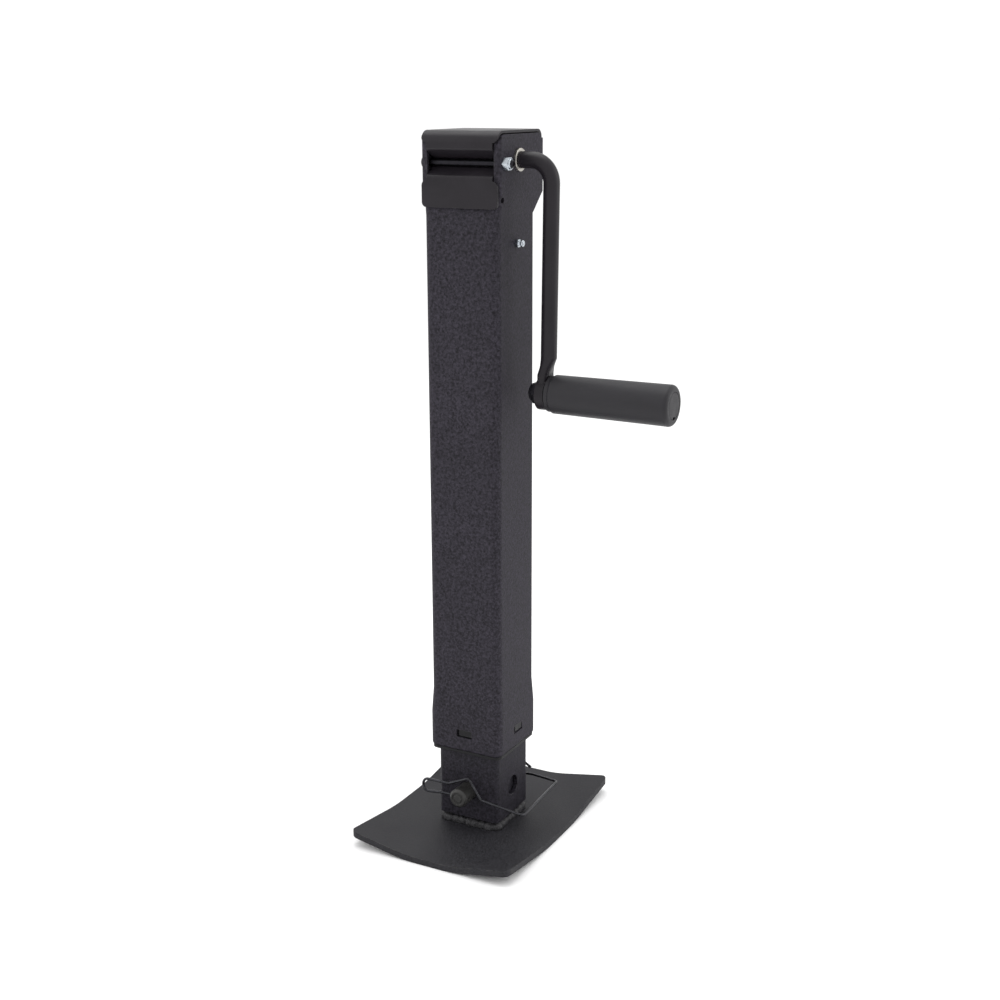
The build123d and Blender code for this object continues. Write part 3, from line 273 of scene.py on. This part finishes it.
# the weld bead's coat is no slot of the record: the bead wears it in the slot foot_coat. Its colour is the
# foot coat's painted lighter, a painted highlight for the light that the bead's lumps catch
finishes = {
    "tube_coat": wrinkle_coat("tube_coat", (0.0222, 0.0200, 0.0262), 400.0, 0.00050, 0.11),
    "ram_coat": wrinkle_coat("ram_coat", (0.0165, 0.0150, 0.0200), 430.0, 0.00040, 0.13, rub=0.04),
    "leg_coat": wrinkle_coat("leg_coat", (0.0150, 0.0140, 0.0185), 430.0, 0.00040, 0.16, rub=0.08),
    "foot_coat": wrinkle_coat("foot_coat", (0.0135, 0.0130, 0.0158), 480.0, 0.00032, 0.25),
    # the weld bead's coat: the foot coat's colour painted lighter, a painted highlight on the bead
    "weld_painted_highlight_coat": wrinkle_coat("weld_painted_highlight_coat", (0.0200, 0.0192, 0.0215), 620.0, 0.00045, 0.42),
    "satin_coat": satin_coat("satin_coat", (0.0125, 0.0105, 0.0136), 0.32, 0.46, 260.0, 0.22),
    "pin_coat": satin_coat("pin_coat", (0.0200, 0.0195, 0.0185), 0.38, 0.52, 420.0, 0.40),
    "spring_wire": turned_metal("spring_wire", (0.045, 0.045, 0.050), 0.30, stain=0.4),
    "dark_steel": turned_metal("dark_steel", (0.024, 0.023, 0.027), 0.34, lines=380.0, stain=0.3),
    "zinc": turned_metal("zinc", (0.50, 0.54, 0.58), 0.20, stain=0.35),
    "bushing_metal": turned_metal("bushing_metal", (0.46, 0.44, 0.40), 0.30, stain=0.40),
    "black_plastic": pressed_plastic("black_plastic", (0.0060, 0.0060, 0.0070), 0.48, 1500.0, 0.00005, 0.20),
    "grip_plastic": pressed_plastic("grip_plastic", (0.0150, 0.0140, 0.0170), 0.50, 1700.0, 0.00008, 0.30),
    "gear_steel": turned_metal("gear_steel", (0.42, 0.41, 0.40), 0.32, stain=0.2),
    "bearing_steel": turned_metal("bearing_steel", (0.66, 0.66, 0.67), 0.14, stain=0.08),
    "cage_brass": turned_metal("cage_brass", (0.66, 0.50, 0.22), 0.30, stain=0.2),
    "nut_iron": turned_metal("nut_iron", (0.20, 0.19, 0.18), 0.48, stain=0.3, depth=0.00008),
}

for part in frame["record"]["subparts"]:
    piece = nodes[part["node"]]
    piece.data.materials.clear()
    piece.data.materials.append(finishes[part["material_slot"]])

# ---------------------------------------------------------------- weld bead round the leg's foot


def outline(half, corner, count):
    """count points and outward directions, evenly spaced round a rounded square."""
    straight = 2 * (half - corner)
    arc = corner * math.pi / 2
    side = straight + arc
    for index in range(count):
        along = (index + 0.5) / count * 4 * side
        quarter, rest = divmod(along, side)
        turn = Matrix.Rotation(quarter * math.pi / 2, 2)
        if rest < straight:
            point, outward = Vector((half, rest - straight / 2)), Vector((1, 0))
        else:
            angle = (rest - straight) / corner
            outward = Vector((math.cos(angle), math.sin(angle)))
            point = Vector((half - corner, half - corner)) + outward * corner
        yield along, turn @ point, turn @ outward


WELD_STEPS, WELD_SLICES = 720, 12
# lengths in metres; the rates are how fast the noise changes along the bead
LUMP = 0.0074
LUMP_ROUNDNESS = 2.2
WANDER_RATE, PEBBLE_RATE = 85, 420
FULLNESS = 0.9
WELD_ROOT = 0.0004
WELD_MARGIN = 0.0006
LEG_CORNER = 0.005
weld_low, weld_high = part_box("foot_weld")
leg_half = (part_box("drop_leg")[1].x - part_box("drop_leg")[0].x) / 2
weld_reach = weld_high.x - leg_half - WELD_MARGIN
weld_height = weld_high.z - weld_low.z - WELD_MARGIN

weld = bmesh.new()
rings = []
for along, point, outward in outline(leg_half, LEG_CORNER, WELD_STEPS):
    step = along / LUMP
    beat = 1 - abs(2 * (step % 1) - 1) ** LUMP_ROUNDNESS
    wander = noise.noise(Vector((along * WANDER_RATE, 3.1, 0)))
    swell = 0.76 + 0.16 * beat + 0.22 * wander
    ring = [weld.verts.new((*(point - outward * WELD_ROOT), weld_low.z))]
    for slice_index in range(WELD_SLICES + 1):
        angle = slice_index / WELD_SLICES * math.pi / 2
        pebble = noise.noise(Vector((along * PEBBLE_RATE, angle * 2.4, 7.7))) * 0.10
        size = min(swell + pebble + 0.10 * math.sin(angle * 2), 1.05)
        out = weld_reach * size * math.cos(angle) ** FULLNESS - WELD_ROOT
        up = weld_height * size * math.sin(angle) ** FULLNESS
        ring.append(weld.verts.new((*(point + outward * out), weld_low.z + up)))
    rings.append(ring)
for ring, following in zip(rings, rings[1:] + rings[:1]):
    for a, b, c, d in zip(ring, ring[1:] + ring[:1], following[1:] + following[:1], following):
        weld.faces.new((a, d, c, b))
bmesh.ops.recalc_face_normals(weld, faces=weld.faces)
for face in weld.faces:
    face.smooth = True
weld_mesh = bpy.data.meshes.new("weld_bead")
weld.to_mesh(weld_mesh)
weld.free()
weld_bead = bpy.data.objects.new("weld_bead", weld_mesh)
scene.collection.objects.link(weld_bead)
# the bead wears the lighter coat, a painted highlight for the light its lumps catch
weld_mesh.materials.append(finishes["weld_painted_highlight_coat"])
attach(weld_bead, "leg")
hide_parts("foot_weld")

# ---------------------------------------------------------------- floor, lights and camera

FLOOR_REACH, FLOOR_DROP = 40.0, 0.0002
FLOOR_COLOUR = (0.95, 0.95, 0.95)


def floor_paint():
    """Flat pale paint, hardly mottled."""
    g = Graph("floor_paint")
    dapple = g.noise(3.0, 3.0, 0.5)
    body = g.tint(FLOOR_COLOUR, g.span(dapple, 0.3, 0.7, 0.99, 1.01))
    return g.done(body, 0.9, g.bump(dapple, 0.0002), DIELECTRIC, 0.1)


floor_mesh = bpy.data.meshes.new("floor")
corners = [(x * FLOOR_REACH, y * FLOOR_REACH, 0) for x, y in ((-1, -1), (1, -1), (1, 1), (-1, 1))]
floor_mesh.from_pydata(corners, [], [(0, 1, 2, 3)])
floor_mesh.materials.append(floor_paint())
floor = bpy.data.objects.new("floor", floor_mesh)
scene.collection.objects.link(floor)
floor.location.z = -FLOOR_DROP

WORLD_STRENGTH = 1.1
world = bpy.data.worlds.new("studio")
world.use_nodes = True
background = world.node_tree.nodes["Background"]
background.inputs["Color"].default_value = rgb(1.0, 1.0, 1.0)
background.inputs["Strength"].default_value = WORLD_STRENGTH
scene.world = world
scene.view_settings.view_transform = "Standard"


LIT_POINT = Vector((0, 0, 0.35))


def softbox(name, at, width, height, watts):
    """A rectangular soft light at a place, turned towards the middle of the jack."""
    light = bpy.data.lights.new(name, "AREA")
    light.shape = "RECTANGLE"
    light.size, light.size_y, light.energy = width, height, watts
    holder = bpy.data.objects.new(name, light)
    scene.collection.objects.link(holder)
    holder.location = at
    holder.rotation_mode = "QUATERNION"
    holder.rotation_quaternion = (LIT_POINT - Vector(at)).to_track_quat("-Z", "Y")


softbox("top_light", at=(-0.3, 0.2, 2.4), width=1.8, height=1.8, watts=22)
softbox("left_light", at=(-1.9, -1.3, 1.3), width=0.9, height=1.6, watts=9)
softbox("right_light", at=(1.7, 0.9, 1.2), width=0.7, height=1.8, watts=9)

AZIMUTH, TILT, ROLL = math.radians(28.159), math.radians(15.429), math.radians(0.191)
FOCAL_LENGTH, SENSOR_WIDTH = 53.715, 36.0
CAMERA_PLACE = (0.67124, -1.21688, 0.72080)
camera = bpy.data.cameras.new("camera")
camera.lens, camera.sensor_width = FOCAL_LENGTH, SENSOR_WIDTH
holder = bpy.data.objects.new("camera", camera)
scene.collection.objects.link(holder)
holder.rotation_mode = "QUATERNION"
turned = Matrix.Rotation(AZIMUTH, 3, "Z") @ Matrix.Rotation(math.pi / 2 - TILT, 3, "X")
holder.rotation_quaternion = (turned @ Matrix.Rotation(-ROLL, 3, "Z")).to_quaternion()
holder.location = CAMERA_PLACE
scene.camera = holder
